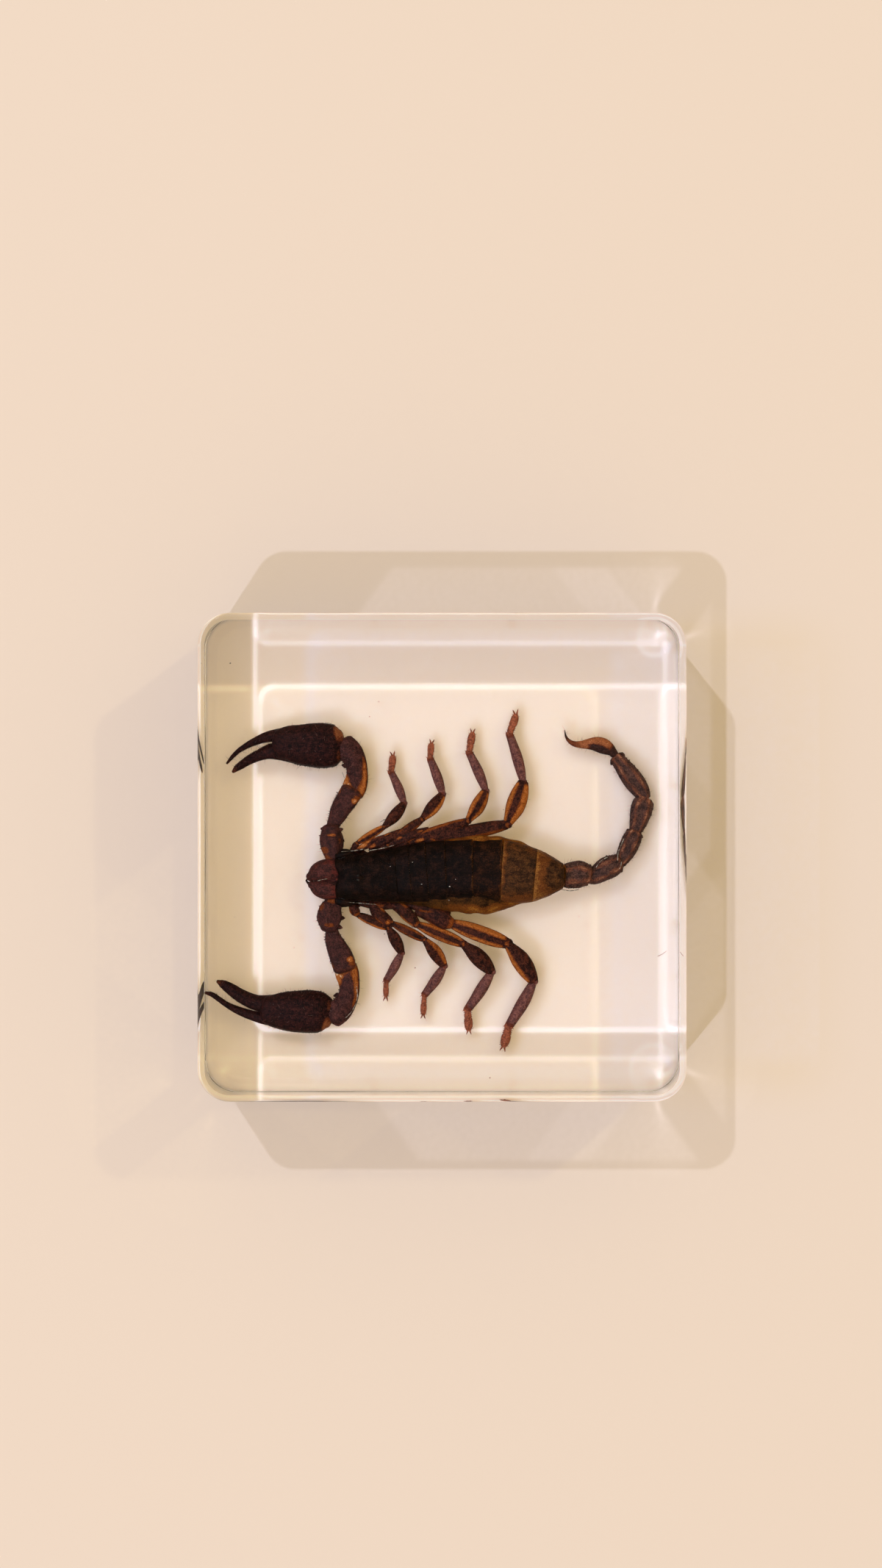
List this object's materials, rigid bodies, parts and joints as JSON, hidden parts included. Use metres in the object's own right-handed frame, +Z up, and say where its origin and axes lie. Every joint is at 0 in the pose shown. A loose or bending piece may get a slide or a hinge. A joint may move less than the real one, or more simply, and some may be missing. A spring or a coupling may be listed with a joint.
{
  "type": "scorpion in resin block",
  "caption": "Clear square resin block with rounded corners and polished edges, lying flat, with a dried dark scorpion sealed inside, claws forward and tail curled to one side.",
  "frame": {"origin": "middle of the flat underside that the block rests on", "axes": "+Z up through the thickness; +X towards the specimen's tail end, +Y towards the side that its tail curls to"},
  "size_m": [0.075, 0.075, 0.025],
  "materials": {
    "resin": "polished",
    "cuticle": "glossy",
    "membrane": "satin",
    "air_film": "glossy"
  },
  "bodies": {
    "root": {"resin_block": "resin"}
  },
  "joints": []
}
